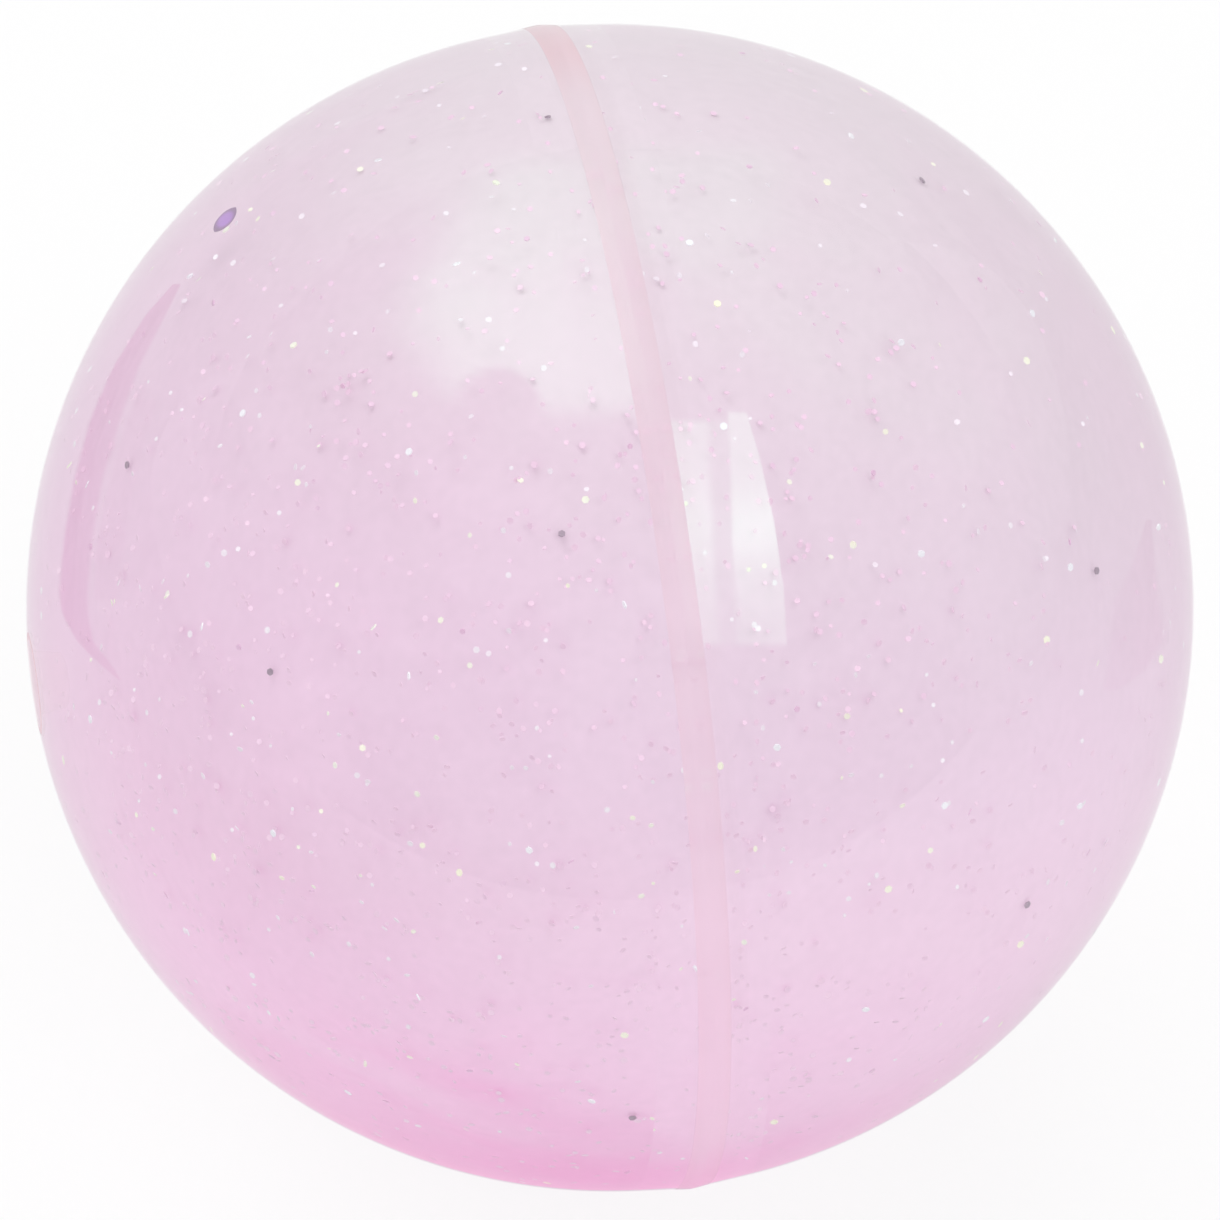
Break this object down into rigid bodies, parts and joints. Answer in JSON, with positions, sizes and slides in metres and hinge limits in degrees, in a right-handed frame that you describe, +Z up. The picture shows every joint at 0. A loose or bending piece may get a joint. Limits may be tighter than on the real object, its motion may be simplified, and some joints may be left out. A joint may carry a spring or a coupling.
{
  "type": "liquid-filled glitter bouncy ball",
  "caption": "Clear soft-rubber ball welded from thick half shells round a seam, filled through a plug with clear pink liquid, glitter flakes and a milky core that swirl inside; bounces and rolls",
  "frame": {"origin": "the centre of the ball", "axes": "+X runs through the poles of the two half shells, square to the seam plane, from the filler plug to the gate mark; +Y and +Z lie in the seam plane; +Z up"},
  "size_m": [0.0649, 0.0654, 0.0654],
  "materials": {
    "clear_rubber": "gloss",
    "weld_rubber": "satin",
    "plug_rubber": "satin",
    "pink_liquid": "gloss",
    "milky_gel": "satin",
    "pearl_flake": "polished",
    "gold_flake": "polished",
    "magenta_flake": "polished",
    "dark_flake": "polished",
    "violet_foil": "polished"
  },
  "bodies": {
    "shell": {"left_shell": "clear_rubber", "right_shell": "clear_rubber", "seam_weld": "weld_rubber", "filler_plug": "plug_rubber"},
    "fill": {"tinted_liquid": "pink_liquid", "milky_core": "milky_gel", "pearl_glitter": "pearl_flake", "gold_glitter": "gold_flake", "magenta_glitter": "magenta_flake", "dark_glitter": "dark_flake", "violet_flake": "violet_foil"}
  },
  "joints": [
    {"name": "fill_swirl", "type": "hinge", "parent": "shell", "child": "fill", "pos_m": [0, 0, 0], "axis": [0, 0, 1], "continuous": true}
  ]
}
